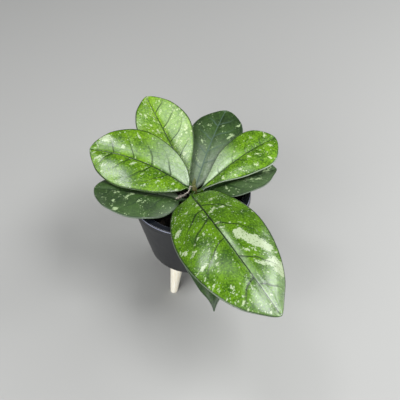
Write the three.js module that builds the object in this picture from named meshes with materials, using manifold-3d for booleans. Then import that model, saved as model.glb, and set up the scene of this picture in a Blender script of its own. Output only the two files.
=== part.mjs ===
// A young splash-leaved hoya in a small round planter on three wooden legs. Millimetres, +Z up.
// The origin is on the floor, under the middle of the whole plant. Inside this file every place is
// taken from the planter's own axis, and the finished group is shifted once, at the end.

import * as THREE from "three";
import { mergeVertices } from "three/addons/utils/BufferGeometryUtils.js";
import Module from "manifold-3d";

const wasm = await Module();
wasm.setup();

// The gap that solids which touch keep between them, and a little more where one of them is round and
// the flats between its edges come closer
const CLEARANCE = 0.3;
const ROUND_CLEARANCE = 0.4;

// Planter
const RIM_HEIGHT = 80;
const RIM_RADIUS = 45;
const RIM_BAND_HEIGHT = 4.5;
const RIM_BAND_STEP = 0.5;
const RIM_EDGE_RADIUS = 1.4;
const LIP_WIDTH = 6;
const LIP_DEPTH = 5;
const LIP_SLANT = 2.5;
const BASE_HEIGHT = 24.5;
const BASE_RADIUS = 34.6;
const BASE_CORNER_RADIUS = 5;
const WALL_THICKNESS = 2.6;
const FLOOR_THICKNESS = 4;
const INNER_CORNER = 3;
const POT_SEGMENTS = 56;

// Legs: turned pegs that lean outwards, each with a dowel in a socket under the planter's floor
const LEG_HEADINGS = { leg_front_left: -122.5, leg_right: -2.5, leg_rear: 117.5 };
const LEG_TOP_OFFSET = 27;
const LEG_FOOT_OFFSET = 34.5;
const LEG_TOP_RADIUS = 5.2;
const LEG_FOOT_RADIUS = 2.9;
const LEG_SIDES = 24;
const DOWEL_RADIUS = 2.5;
const DOWEL_LENGTH = 8;
const SOCKET_BOSS_RADIUS = 6;
const SOCKET_BOSS_LENGTH = 11;

// Potting mix
const SOIL_DEPTH_BELOW_RIM = 12;
const SOIL_LUMP_HEIGHT = 1.2;
const SOIL_SEGMENTS = 40;
const SOIL_RING_RADII = [38, 33, 28, 23, 18, 13, 8];
const SOIL_EDGE_DROP = 2;
const CHIP_COUNT = 26;
const CHIP_LENGTHS = [4, 9];
const CHIP_WIDTH_SHARE = 0.55;
const CHIP_THICKNESS_SHARE = 0.3;
const CHIP_TILT = 0.45;
const CHIP_RING = [10, 33];

// Stem, upright a little off the planter's axis, rooted in the mix
const STEM_X = 2.5;
const STEM_Y = 0;
const STEM_RADIUS = 1.8;
const STEM_NODE_SWELL = 0.35;
const STEM_TOP = 7;
const STEM_ROOTED_DEPTH = 20;
const STEM_SIDES = 14;

// Two young leaves, still folded shut, at the shoot's tip: from this far below the stem's top, each to
// its own point
const BUD_ROOT_DEPTH = 1.2;
const BUDS = [
  { reach: [0.9, 0.2, 8], halfWidth: 1.15 },
  { reach: [-1, -0.4, 4.6], halfWidth: 0.95 },
];

// The root that hangs in the air: its line, with z above the rim, and its radius at both ends
const ROOT_PATH = [
  [0.45, -0.6, 5.9],
  [-0.5, -1.7, 7.1],
  [-1, -3.3, 5.6],
  [-2.4, -4.4, 3.9],
  [-4.8, -4.6, 2.1],
  [-8.4, -5.4, 0.6],
  [-11.4, -6.2, -0.3],
];
const ROOT_RADIUS_AT_STEM = 0.6;
const ROOT_RADIUS_AT_TIP = 0.45;

// Leaves: thick and waxy, with a raised midrib under the blade that runs out into the petiole
const PETIOLE_RADIUS = 1.6;
const MARGIN_THICKNESS = 0.85;
const BLADE_THICKNESS = 1.1;
const KEEL_DEPTH = 1.5;
const KEEL_HALF_WIDTH = 2.2;
const MARGIN_WAVE_HEIGHT = 0.5;
const MARGIN_WAVES = 2.5;
const BLADE_ROWS = 22;
const PETIOLE_ROWS = 4;
const TIP_HALF_WIDTH = 0.45;
const FLATTENING_SHARE = 0.045;
const LOBE_SHARE = 0.2;

// How each leaf grows. node is the height on the stem where its petiole leaves, and base is where its blade
// starts, both with z above the rim. The midrib starts with a heading and a rise, swings and droops evenly
// along its length, and the blade rolls about it at the base and twists further towards the tip. The two
// halves fold up from the midrib and curl down again to the margin. widest is the place of the widest
// section along the length, and a larger taper narrows that end sooner. lobes is how far the rounded base
// reaches back on both sides of the petiole. Angles are in degrees.
const LEAVES = [
  {
    name: "leaf_front", colour: 0x4f8a26, node: 1.5, base: [0, -8, 4.2],
    heading: -73, swing: 20, rise: 23, droop: 55, roll: 12, twist: -20, fold: 1, curl: 26,
    length: 125.5, halfWidth: 33.5, widest: 0.49, baseTaper: 0.45, tipTaper: 0.66, lobes: 4,
  },
  {
    name: "leaf_rear_left", colour: 0x76ad3a, node: 0.5, base: [-1, 7, 2],
    heading: 107, swing: 12, rise: 10, droop: -21, roll: -10, twist: 17, fold: 15, curl: 4,
    length: 87, halfWidth: 22.5, widest: 0.63, baseTaper: 0.82, tipTaper: 0.7, lobes: 0,
  },
  {
    name: "leaf_left", colour: 0x558a2c, node: 3, base: [-1, 0, 4],
    heading: 149, swing: 14, rise: 26, droop: 30, roll: -1, twist: -19, fold: 9, curl: 18,
    length: 85, halfWidth: 27.5, widest: 0.55, baseTaper: 0.6, tipTaper: 0.64, lobes: 0,
  },
  {
    name: "leaf_right", colour: 0x6ba62e, node: 0, base: [8, 1, 1.5],
    heading: 35, swing: -13, rise: 26, droop: 18, roll: -10, twist: 13, fold: 8, curl: 25,
    length: 70, halfWidth: 22.5, widest: 0.68, baseTaper: 0.58, tipTaper: 0.52, lobes: 0,
  },
  {
    name: "leaf_left_low", colour: 0x3b6430, node: -6, base: [-8, -3, -4],
    heading: 187, swing: -14, rise: 28, droop: 28, roll: -2, twist: 9, fold: 1, curl: 16,
    length: 66, halfWidth: 26, widest: 0.5, baseTaper: 0.7, tipTaper: 0.5, lobes: 0,
  },
  {
    name: "leaf_right_low", colour: 0x3a6137, node: -5, base: [9.5, 1, -2],
    heading: 11, swing: -6, rise: 22, droop: 20, roll: -1, twist: 3, fold: 15, curl: 10,
    length: 58, halfWidth: 22, widest: 0.52, baseTaper: 0.6, tipTaper: 0.7, lobes: 0,
  },
  {
    name: "leaf_rear", colour: 0x44663c, node: -6.5, base: [3, 6.5, -3.5],
    heading: 72, swing: -7, rise: 21, droop: 13, roll: -5, twist: 1, fold: 3, curl: 15,
    length: 80, halfWidth: 23.5, widest: 0.6, baseTaper: 0.7, tipTaper: 0.5, lobes: 0,
  },
  {
    name: "leaf_front_low", colour: 0x3d5c40, node: -6, base: [2.5, -6, -1],
    heading: -77, swing: -16, rise: 27, droop: 68, roll: 8, twist: 11, fold: 6, curl: 21,
    length: 104, halfWidth: 23.5, widest: 0.44, baseTaper: 0.62, tipTaper: 1, lobes: 0,
  },
];

const UP = new THREE.Vector3(0, 0, 1);
const group = new THREE.Group();

function vector(x, y, z) {
  return new THREE.Vector3(x, y, z);
}

function radians(degrees) {
  return THREE.MathUtils.degToRad(degrees);
}

// A seeded draw, so that every build is the same
function seededRandom(seed) {
  let state = seed;
  return () => {
    state = (state + 0x6d2b79f5) | 0;
    let mixed = Math.imul(state ^ (state >>> 15), 1 | state);
    mixed = (mixed + Math.imul(mixed ^ (mixed >>> 7), 61 | mixed)) ^ mixed;
    return ((mixed ^ (mixed >>> 14)) >>> 0) / 4294967296;
  };
}

// Closed solids from surfaces, for joining and cutting
function solidOf(geometry) {
  const bare = geometry.clone();
  bare.deleteAttribute("normal");
  bare.deleteAttribute("uv");
  const merged = mergeVertices(bare, 1e-4);
  return new wasm.Manifold(
    new wasm.Mesh({
      numProp: 3,
      vertProperties: new Float32Array(merged.attributes.position.array),
      triVerts: new Uint32Array(merged.index.array),
    }),
  );
}

function geometryOf(solid) {
  const mesh = solid.getMesh();
  const geometry = new THREE.BufferGeometry();
  geometry.setAttribute("position", new THREE.BufferAttribute(mesh.vertProperties, mesh.numProp));
  geometry.setIndex(new THREE.BufferAttribute(mesh.triVerts, 1));
  geometry.computeVertexNormals();
  return geometry;
}

function addPiece(name, geometry, colour, roughness) {
  const material = new THREE.MeshStandardMaterial({ color: colour, roughness, metalness: 0 });
  const mesh = new THREE.Mesh(geometry, material);
  mesh.name = name;
  group.add(mesh);
}

// Skins a row of rings with equal point counts and closes both ends. A ring runs clockwise as seen by
// someone whom the row of rings comes towards. Each cell of a ring's first half and the cell
// that faces it in the second half are split along the same diagonal.
function loft(rings) {
  const count = rings[0].length;
  const points = rings.flat();
  const index = [];
  for (let row = 0; row + 1 < rings.length; row++) {
    for (let j = 0; j < count; j++) {
      const next = (j + 1) % count;
      const a = row * count + j;
      const b = row * count + next;
      const c = b + count;
      const d = a + count;
      if (j < count / 2) index.push(a, c, b, a, d, c);
      else index.push(a, d, b, b, d, c);
    }
  }
  const middle = (ring) => ring.reduce((sum, p) => sum.add(p), vector(0, 0, 0)).divideScalar(count);
  points.push(middle(rings[0]), middle(rings.at(-1)));
  const last = (rings.length - 1) * count;
  for (let j = 0; j < count; j++) {
    const next = (j + 1) % count;
    index.push(points.length - 2, j, next);
    index.push(points.length - 1, last + next, last + j);
  }
  const geometry = new THREE.BufferGeometry().setFromPoints(points);
  geometry.setIndex(index);
  geometry.computeVertexNormals();
  return geometry;
}

// A round ring about a centre, across the direction that side and top span
function roundRing(centre, side, top, radius, count) {
  const ring = [];
  for (let j = 0; j < count; j++) {
    const angle = Math.PI * (1 - (2 * j) / count);
    ring.push(
      centre
        .clone()
        .addScaledVector(side, radius * Math.cos(angle))
        .addScaledVector(top, radius * Math.sin(angle)),
    );
  }
  return ring;
}

// A round rod along a curve, its radius a function of the share of the length
function rod(curve, radiusAt, steps, sides) {
  const frames = curve.computeFrenetFrames(steps, false);
  const rings = [];
  for (let i = 0; i <= steps; i++) {
    const centre = curve.getPointAt(i / steps);
    rings.push(roundRing(centre, frames.normals[i], frames.binormals[i], radiusAt(i / steps), sides));
  }
  return loft(rings);
}

// Points on a quarter turn, from one angle to another, for a turned profile
function arc(centreR, centreZ, radius, from, to, steps) {
  const points = [];
  for (let i = 0; i <= steps; i++) {
    const angle = radians(from + ((to - from) * i) / steps);
    points.push(new THREE.Vector2(centreR + radius * Math.cos(angle), centreZ + radius * Math.sin(angle)));
  }
  return points;
}

function turned(profile, segments) {
  return new THREE.LatheGeometry(profile, segments).rotateX(Math.PI / 2);
}

// The planter's outer wall is straight from the rounded base corner to the rim band
const WALL_TOP_RADIUS = RIM_RADIUS - RIM_BAND_STEP;
const WALL_TOP_HEIGHT = RIM_HEIGHT - RIM_BAND_HEIGHT;
const WALL_SLOPE = (WALL_TOP_RADIUS - BASE_RADIUS) / (WALL_TOP_HEIGHT - BASE_HEIGHT);
const SOIL_TOP = RIM_HEIGHT - SOIL_DEPTH_BELOW_RIM;
const FLOOR_TOP = BASE_HEIGHT + FLOOR_THICKNESS;

function wallRadius(height) {
  return BASE_RADIUS + WALL_SLOPE * (height - BASE_HEIGHT);
}

function innerRadius(height) {
  return wallRadius(height) - WALL_THICKNESS;
}

// A leg's line: its middle at the floor, its middle at the planter's base, and the direction between them
function legLine(heading) {
  const along = vector(Math.cos(radians(heading)), Math.sin(radians(heading)), 0);
  const foot = along.clone().multiplyScalar(LEG_FOOT_OFFSET);
  const top = along.clone().multiplyScalar(LEG_TOP_OFFSET).setZ(BASE_HEIGHT);
  return { foot, top, direction: top.clone().sub(foot).normalize() };
}

// A straight tapered rod between two points
function peg(from, to, radiusFrom, radiusTo, sides) {
  const length = from.distanceTo(to);
  const geometry = new THREE.CylinderGeometry(radiusTo, radiusFrom, length, sides);
  const turn = new THREE.Quaternion().setFromUnitVectors(vector(0, 1, 0), to.clone().sub(from).normalize());
  geometry.applyQuaternion(turn);
  const middle = from.clone().add(to).multiplyScalar(0.5);
  return geometry.translate(middle.x, middle.y, middle.z);
}

// A peg that follows a leg's line between two distances above the planter's base
function pegOnLeg(heading, below, above, radius) {
  const { top, direction } = legLine(heading);
  const from = top.clone().addScaledVector(direction, below);
  const to = top.clone().addScaledVector(direction, above);
  return solidOf(peg(from, to, radius, radius, LEG_SIDES));
}

function planter() {
  const tilt = Math.atan(WALL_SLOPE);
  const cornerHeight = BASE_HEIGHT + BASE_CORNER_RADIUS;
  const cornerEndRadius = wallRadius(cornerHeight - BASE_CORNER_RADIUS * Math.sin(tilt));
  const cornerMiddle = cornerEndRadius - BASE_CORNER_RADIUS * Math.cos(tilt);
  const cornerEndAngle = -THREE.MathUtils.radToDeg(tilt);
  const lipInner = RIM_RADIUS - LIP_WIDTH;
  const lipUnderside = RIM_HEIGHT - LIP_DEPTH;
  const lipRoot = lipUnderside - LIP_SLANT;
  const edgeHeight = RIM_HEIGHT - RIM_EDGE_RADIUS;
  const cornerTop = FLOOR_TOP + INNER_CORNER;
  const profile = [
    new THREE.Vector2(0, BASE_HEIGHT),
    ...arc(cornerMiddle, cornerHeight, BASE_CORNER_RADIUS, -90, cornerEndAngle, 4),
    new THREE.Vector2(WALL_TOP_RADIUS, WALL_TOP_HEIGHT),
    new THREE.Vector2(RIM_RADIUS, WALL_TOP_HEIGHT + RIM_BAND_STEP),
    ...arc(RIM_RADIUS - RIM_EDGE_RADIUS, edgeHeight, RIM_EDGE_RADIUS, 0, 90, 3),
    ...arc(lipInner + RIM_EDGE_RADIUS, edgeHeight, RIM_EDGE_RADIUS, 90, 180, 3),
    new THREE.Vector2(lipInner, lipUnderside),
    new THREE.Vector2(innerRadius(lipRoot), lipRoot),
    new THREE.Vector2(innerRadius(cornerTop), cornerTop),
    new THREE.Vector2(innerRadius(FLOOR_TOP) - INNER_CORNER, FLOOR_TOP),
    new THREE.Vector2(0, FLOOR_TOP),
  ];
  let shell = solidOf(turned(profile, POT_SEGMENTS));
  for (const heading of Object.values(LEG_HEADINGS)) {
    const boss = pegOnLeg(heading, FLOOR_THICKNESS / 2, SOCKET_BOSS_LENGTH, SOCKET_BOSS_RADIUS);
    const socket = pegOnLeg(heading, -FLOOR_THICKNESS, DOWEL_LENGTH + CLEARANCE, DOWEL_RADIUS + CLEARANCE);
    shell = shell.add(boss).subtract(socket);
  }
  return geometryOf(shell);
}

function leg(heading) {
  const { foot, top, direction } = legLine(heading);
  const overrun = 3;
  const length = foot.distanceTo(top);
  const growth = (LEG_TOP_RADIUS - LEG_FOOT_RADIUS) / length;
  const shaft = peg(
    foot.clone().addScaledVector(direction, -overrun),
    top.clone().addScaledVector(direction, overrun),
    LEG_FOOT_RADIUS - growth * overrun,
    LEG_TOP_RADIUS + growth * overrun,
    LEG_SIDES,
  );
  const shaftHeight = BASE_HEIGHT - CLEARANCE;
  const slabWidth = 4 * LEG_FOOT_OFFSET;
  const slab = new THREE.BoxGeometry(slabWidth, slabWidth, shaftHeight).translate(0, 0, shaftHeight / 2);
  const dowel = pegOnLeg(heading, -2 * DOWEL_RADIUS, DOWEL_LENGTH, DOWEL_RADIUS);
  return geometryOf(solidOf(shaft).intersect(solidOf(slab)).add(dowel));
}

// The height of the mix's lumpy surface
function lumps(x, y) {
  const broad = Math.sin(x / 6 + 1) * Math.cos(y / 5);
  const fine = Math.sin(x / 2.6 + y / 3.1);
  return SOIL_TOP + SOIL_LUMP_HEIGHT * (broad + 0.5 * fine);
}

// A level or lumpy ring of the mix
function soilRing(radius, heightAt) {
  const points = [];
  for (let j = 0; j < SOIL_SEGMENTS; j++) {
    const angle = (-2 * Math.PI * j) / SOIL_SEGMENTS;
    const x = radius * Math.cos(angle);
    const y = radius * Math.sin(angle);
    points.push(vector(x, y, heightAt(x, y)));
  }
  return points;
}

function soil() {
  const bottom = FLOOR_TOP + CLEARANCE;
  const cornerTop = bottom + INNER_CORNER;
  const edge = SOIL_TOP - SOIL_EDGE_DROP;
  const wall = (height) => innerRadius(height) - ROUND_CLEARANCE;
  const rings = [
    soilRing(SOIL_RING_RADII.at(-1), () => bottom),
    soilRing(wall(bottom) - INNER_CORNER, () => bottom),
    soilRing(wall(cornerTop), () => cornerTop),
    soilRing(wall(edge), () => edge),
    ...SOIL_RING_RADII.map((radius) => soilRing(radius, lumps)),
  ];
  let mix = solidOf(loft(rings));
  const random = seededRandom(11);
  for (let i = 0; i < CHIP_COUNT; i++) {
    const length = CHIP_LENGTHS[0] + random() * (CHIP_LENGTHS[1] - CHIP_LENGTHS[0]);
    const chip = new THREE.BoxGeometry(length, length * CHIP_WIDTH_SHARE, length * CHIP_THICKNESS_SHARE);
    chip.rotateX((2 * random() - 1) * CHIP_TILT);
    chip.rotateY((2 * random() - 1) * CHIP_TILT);
    chip.rotateZ(random() * Math.PI);
    const radius = CHIP_RING[0] + (CHIP_RING[1] - CHIP_RING[0]) * Math.sqrt(random());
    const angle = random() * 2 * Math.PI;
    const x = radius * Math.cos(angle);
    const y = radius * Math.sin(angle);
    mix = mix.add(solidOf(chip.translate(x, y, lumps(x, y) + 0.1 * length)));
  }
  for (const heading of Object.values(LEG_HEADINGS)) {
    const roomRadius = SOCKET_BOSS_RADIUS + CLEARANCE;
    mix = mix.subtract(pegOnLeg(heading, -FLOOR_THICKNESS, SOCKET_BOSS_LENGTH + CLEARANCE, roomRadius));
  }
  const holeFrom = vector(STEM_X, STEM_Y, SOIL_TOP - STEM_ROOTED_DEPTH - CLEARANCE);
  const holeTo = vector(STEM_X, STEM_Y, RIM_HEIGHT);
  const holeRadius = STEM_RADIUS + ROUND_CLEARANCE;
  return geometryOf(mix.subtract(solidOf(peg(holeFrom, holeTo, holeRadius, holeRadius, STEM_SIDES))));
}

// The height above the rim of each pair's node, where the stem swells
const NODE_HEIGHTS = [...new Set(LEAVES.map((leaf) => leaf.node))];

function stemRadius(height) {
  const slimming = 0.2 * THREE.MathUtils.smoothstep(height, -SOIL_DEPTH_BELOW_RIM, STEM_TOP);
  const rooted = THREE.MathUtils.smoothstep(height, -SOIL_DEPTH_BELOW_RIM, -SOIL_DEPTH_BELOW_RIM + 2);
  const swell = Math.max(...NODE_HEIGHTS.map((node) => Math.exp(-(((height - node) / 1.4) ** 2))));
  return STEM_RADIUS * (1 - slimming) + STEM_NODE_SWELL * swell * rooted;
}

// A young leaf at the shoot's tip: a slim spike with a lens-shaped section, widest low down
function bud(from, reach, halfWidth) {
  const steps = 6;
  const corners = 8;
  const flatness = 0.65;
  const rings = [];
  const direction = reach.clone().normalize();
  const side = direction.clone().cross(vector(0, 1, 0)).normalize();
  const top = direction.clone().cross(side);
  for (let i = 0; i <= steps; i++) {
    const share = i / steps;
    const width = halfWidth * Math.sin(Math.PI * THREE.MathUtils.lerp(0.2, 0.97, share));
    const centre = from.clone().addScaledVector(reach, share);
    rings.push(roundRing(centre, side, top.clone().multiplyScalar(flatness), width, corners));
  }
  return solidOf(loft(rings));
}

function stem() {
  const bottom = SOIL_TOP - STEM_ROOTED_DEPTH;
  const height = RIM_HEIGHT + STEM_TOP - bottom;
  const steps = 30;
  const topNarrowing = 0.6;
  const rings = [];
  for (let i = 0; i <= steps; i++) {
    const centre = vector(STEM_X, STEM_Y, bottom + (height * i) / steps);
    const radius = stemRadius(centre.z - RIM_HEIGHT) * (i === steps ? topNarrowing : 1);
    rings.push(roundRing(centre, vector(1, 0, 0), vector(0, 1, 0), radius, STEM_SIDES));
  }
  let shoot = solidOf(loft(rings));
  const budRoot = vector(STEM_X, STEM_Y, RIM_HEIGHT + STEM_TOP - BUD_ROOT_DEPTH);
  for (const { reach, halfWidth } of BUDS) {
    shoot = shoot.add(bud(budRoot, vector(...reach), halfWidth));
  }
  return geometryOf(shoot);
}

// The share from 0 to t of a direction whose angle runs evenly from start by turn: sums of cosine and sine
function turnedSum(start, turn, t) {
  if (Math.abs(turn) < 1e-6) return [Math.cos(start) * t, Math.sin(start) * t];
  const end = start + turn * t;
  return [(Math.sin(end) - Math.sin(start)) / turn, (Math.cos(start) - Math.cos(end)) / turn];
}

// The midrib's point and its three directions at the share t of a leaf's length
function midribAt(leaf, t) {
  const heading = radians(leaf.heading);
  const swing = radians(leaf.swing);
  const rise = radians(leaf.rise);
  const droop = radians(-leaf.droop);
  const [cosPlus, sinPlus] = turnedSum(heading + rise, swing + droop, t);
  const [cosMinus, sinMinus] = turnedSum(heading - rise, swing - droop, t);
  const [, climb] = turnedSum(rise, droop, t);
  const point = vector((cosPlus + cosMinus) / 2, (sinPlus + sinMinus) / 2, climb);
  point.multiplyScalar(leaf.length);
  point.add(vector(leaf.base[0], leaf.base[1], leaf.base[2] + RIM_HEIGHT));
  const nowHeading = heading + swing * t;
  const nowRise = rise + droop * t;
  const along = vector(
    Math.cos(nowRise) * Math.cos(nowHeading),
    Math.cos(nowRise) * Math.sin(nowHeading),
    Math.sin(nowRise),
  );
  const roll = radians(leaf.roll + leaf.twist * t);
  return { point, ...sectionDirections(along, roll) };
}

// The side and top directions of a section across a direction, rolled about it
function sectionDirections(along, roll) {
  const level = UP.clone().cross(along).normalize();
  const upright = along.clone().cross(level);
  const side = level.clone().multiplyScalar(Math.cos(roll)).addScaledVector(upright, Math.sin(roll));
  const top = upright.clone().multiplyScalar(Math.cos(roll)).addScaledVector(level, -Math.sin(roll));
  return { side, top };
}

function halfWidthAt(leaf, t) {
  const share = t ** (Math.log(0.5) / Math.log(leaf.widest));
  const taper = t < leaf.widest ? leaf.baseTaper : leaf.tipTaper;
  return leaf.halfWidth * Math.max(0, 4 * share * (1 - share)) ** taper;
}

// Places across the blade, from the right margin to the left one: closer together over the keel
function placesAcross(halfWidth) {
  const keel = Math.min(0.3, KEEL_HALF_WIDTH / halfWidth);
  return [-1, -0.72, -0.42, -keel, 0, keel, 0.42, 0.72, 1];
}

// A section of the blade: each point's place to the side, its height and how far back towards the petiole it
// lies, over the upper face and back under the lower one
function bladeSection(leaf, t) {
  const halfWidth = Math.hypot(halfWidthAt(leaf, t), PETIOLE_RADIUS * (1 - t) + TIP_HALF_WIDTH * t);
  const keelDepth = KEEL_DEPTH * (1 - t) ** 0.7;
  const lobes = leaf.lobes * (1 - THREE.MathUtils.smoothstep(t, FLATTENING_SHARE, LOBE_SHARE));
  const upper = [];
  const lower = [];
  for (const place of placesAcross(halfWidth)) {
    const out = Math.abs(place);
    const [across, height] = turnedSum(radians(leaf.fold), radians(-leaf.curl), out);
    const wave = MARGIN_WAVE_HEIGHT * out ** 2 * Math.sin(2 * Math.PI * MARGIN_WAVES * t + place * 1.5);
    const x = Math.sign(place) * across * halfWidth;
    const z = height * halfWidth + wave * Math.min(1, halfWidth / 8);
    const thickness = THREE.MathUtils.lerp(BLADE_THICKNESS, MARGIN_THICKNESS, out);
    const back = lobes * out ** 2;
    upper.push([x, z, back]);
    lower.unshift([x, z - thickness - (place === 0 ? keelDepth : 0), back]);
  }
  return [...upper, ...lower];
}

// The petiole's round section, with the same count of points
function petioleSection(count) {
  const section = [];
  const half = count / 2;
  for (let j = 0; j < count; j++) {
    const share = j < half ? j / (half - 1) : (j - half) / (half - 1);
    const angle = radians(j < half ? 168 - 156 * share : -12 - 156 * share);
    section.push([PETIOLE_RADIUS * Math.cos(angle), PETIOLE_RADIUS * (Math.sin(angle) - 0.45), 0]);
  }
  return section;
}

function placeSection(section, { point, side, top }) {
  const along = side.clone().cross(top);
  return section.map(([x, z, back]) =>
    point.clone().addScaledVector(side, x).addScaledVector(top, z).addScaledVector(along, -back),
  );
}

// A whole leaf: the petiole curves up out of the stem and flattens into the blade
function leafGeometry(leaf) {
  const start = midribAt(leaf, 0);
  const along = start.side.clone().cross(start.top);
  const axis = vector(STEM_X, STEM_Y, RIM_HEIGHT + leaf.node);
  const outwards = start.point.clone().sub(axis).setZ(0).normalize();
  const foot = axis.clone().addScaledVector(outwards, stemRadius(leaf.node) + ROUND_CLEARANCE);
  const reach = foot.distanceTo(start.point);
  const curve = new THREE.CubicBezierCurve3(
    foot,
    foot.clone().addScaledVector(outwards, 0.4 * reach),
    start.point.clone().addScaledVector(along, -0.4 * reach),
    start.point,
  );
  const round = petioleSection(2 * placesAcross(leaf.halfWidth).length);
  const rings = [];
  for (let i = 0; i < PETIOLE_ROWS; i++) {
    const share = i / PETIOLE_ROWS;
    const directions = sectionDirections(curve.getTangent(share), radians(leaf.roll) * share);
    rings.push(placeSection(round, { point: curve.getPoint(share), ...directions }));
  }
  for (let i = 0; i <= BLADE_ROWS; i++) {
    const t = (1 - Math.cos((Math.PI * i) / BLADE_ROWS)) / 2;
    const flat = THREE.MathUtils.smoothstep(t, 0, FLATTENING_SHARE);
    const section = bladeSection(leaf, t).map((place, j) =>
      place.map((value, axis) => THREE.MathUtils.lerp(round[j][axis], value, flat)),
    );
    rings.push(placeSection(section, midribAt(leaf, t)));
  }
  return loft(rings);
}

// A thin root that left the stem in the air, arches over and comes down on the lower left leaf
function aerialRoot() {
  const path = new THREE.CatmullRomCurve3(ROOT_PATH.map(([x, y, z]) => vector(x, y, z + RIM_HEIGHT)));
  const radiusAt = (share) => THREE.MathUtils.lerp(ROOT_RADIUS_AT_STEM, ROOT_RADIUS_AT_TIP, share);
  return rod(path, radiusAt, 18, 8);
}

addPiece("pot", planter(), 0x2a2c31, 0.45);
for (const [name, heading] of Object.entries(LEG_HEADINGS)) addPiece(name, leg(heading), 0xe2cfae, 0.7);
addPiece("soil", soil(), 0x2b211a, 0.95);
addPiece("stem", stem(), 0x6c6238, 0.6);
for (const leaf of LEAVES) addPiece(leaf.name, leafGeometry(leaf), leaf.colour, 0.35);
addPiece("aerial_root", aerialRoot(), 0xa8988a, 0.8);

const whole = new THREE.Box3().setFromObject(group);
const middle = whole.getCenter(vector(0, 0, 0));
group.position.set(-middle.x, -middle.y, 0);

export default group;
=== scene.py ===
"""A young splash-leaved hoya in a small round planter on three wooden legs.

The sections follow the plant as it is put together: planter, legs, potting mix, stem, leaves, the root
in the air, and then the place where it stands. Sizes are in millimetres and turn to metres in the mesh.
"""

import math
from functools import partial
from itertools import product

import bpy
import numpy as np
from mathutils import Euler, Matrix, Vector


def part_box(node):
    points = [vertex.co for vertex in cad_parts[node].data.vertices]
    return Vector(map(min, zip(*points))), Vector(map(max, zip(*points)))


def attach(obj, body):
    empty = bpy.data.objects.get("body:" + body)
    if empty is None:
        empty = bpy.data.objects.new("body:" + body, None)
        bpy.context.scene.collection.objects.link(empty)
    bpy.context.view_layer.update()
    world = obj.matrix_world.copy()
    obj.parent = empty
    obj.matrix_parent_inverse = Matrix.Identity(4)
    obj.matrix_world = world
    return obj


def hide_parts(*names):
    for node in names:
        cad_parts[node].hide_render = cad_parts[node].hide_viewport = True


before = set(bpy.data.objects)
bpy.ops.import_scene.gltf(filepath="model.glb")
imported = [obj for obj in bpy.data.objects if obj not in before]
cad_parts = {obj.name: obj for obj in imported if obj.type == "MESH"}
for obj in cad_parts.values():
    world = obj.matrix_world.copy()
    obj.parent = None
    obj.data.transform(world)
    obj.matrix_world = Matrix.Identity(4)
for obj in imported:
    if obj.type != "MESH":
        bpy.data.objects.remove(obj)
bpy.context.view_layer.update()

# Planter
# One shell of charcoal polypropylene, injection moulded, with a shallow band under its flat rolled lip.
# Its mould was lightly grained, so the wall is satin. The lip came out smooth; a pale highlight is painted
# on its edge, and painted shade on its flat top.

planter_low, planter_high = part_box("pot")
PLANTER_X = 500 * (planter_low.x + planter_high.x)
PLANTER_Y = 500 * (planter_low.y + planter_high.y)
RIM_HEIGHT = 80
RIM_RADIUS = 45
RIM_BAND_HEIGHT = 4.5
RIM_BAND_STEP = 0.5
RIM_EDGE_RADIUS = 1.4
LIP_WIDTH = 6
LIP_DEPTH = 5
LIP_SLANT = 2.5
BASE_HEIGHT = 24.5
BASE_RADIUS = 34.6
BASE_CORNER_RADIUS = 5
WALL_THICKNESS = 2.6
MIDDLE_RADIUS = 0.5
PLANTER_SIDES = 168
FLOOR_THICKNESS = 4
WALL_TOP_RADIUS = RIM_RADIUS - RIM_BAND_STEP
WALL_TOP_HEIGHT = RIM_HEIGHT - RIM_BAND_HEIGHT
WALL_SLOPE = (WALL_TOP_RADIUS - BASE_RADIUS) / (WALL_TOP_HEIGHT - BASE_HEIGHT)


def wall_radius(height):
    """The planter's outer radius at a height above the floor."""
    return BASE_RADIUS + WALL_SLOPE * (height - BASE_HEIGHT)


def quarter(middle_radius, middle_height, radius, start, end, steps):
    """Points (radius, height) of a rounded edge, from one angle to another in degrees."""
    angles = np.radians(np.linspace(start, end, steps))
    return [(middle_radius + radius * math.cos(a), middle_height + radius * math.sin(a)) for a in angles]


def circle(steps):
    """Angles in even steps round a circle."""
    return np.linspace(0, 2 * math.pi, steps, endpoint=False)


def turned_rings(profile):
    """Rings about the planter's axis, one for each (radius, height) of the profile."""
    angles = circle(PLANTER_SIDES)
    radius, height = np.array(profile).T
    x = radius[:, None] * np.cos(angles)
    y = radius[:, None] * np.sin(angles)
    return np.stack([x, y, np.broadcast_to(height[:, None], x.shape)], -1)


def skin(rings):
    """Points and faces of the closed surface through rings with equal point counts, facing out."""
    rows, count = rings.shape[:2]
    points = rings.reshape(-1, 3)
    ring = np.arange(rows * count).reshape(rows, count)
    a, b = ring[:-1], np.roll(ring, -1, 1)[:-1]
    d, c = ring[1:], np.roll(ring, -1, 1)[1:]
    quads = np.stack([a, b, c, d], -1).reshape(-1, 4)
    p, q, r, s = (points[quads[:, i]] - points.mean(0) for i in range(4))
    volume = np.einsum("ij,ij->", p, np.cross(q, r)) + np.einsum("ij,ij->", p, np.cross(r, s))
    faces = quads.tolist() + [ring[0][::-1].tolist(), ring[-1].tolist()]
    if volume < 0:
        faces = [face[::-1] for face in faces]
    return points, faces


def add_object(name, data):
    """An object in the scene that holds a mesh, a camera or a lamp."""
    thing = bpy.data.objects.new(name, data)
    bpy.context.scene.collection.objects.link(thing)
    return thing


def add_piece(name, points, faces, material, slot, sharp=40):
    """A smooth-shaded piece from points in millimetres about the planter's axis."""
    mesh = bpy.data.meshes.new(name)
    place = (np.asarray(points, float) + (PLANTER_X, PLANTER_Y, 0)) / 1000
    mesh.from_pydata(place.tolist(), [], faces)
    mesh.shade_smooth()
    mesh.set_sharp_from_angle(angle=math.radians(sharp))
    mesh.materials.append(material)
    piece = add_object(name, mesh)
    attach(piece, "root")
    return piece


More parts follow.
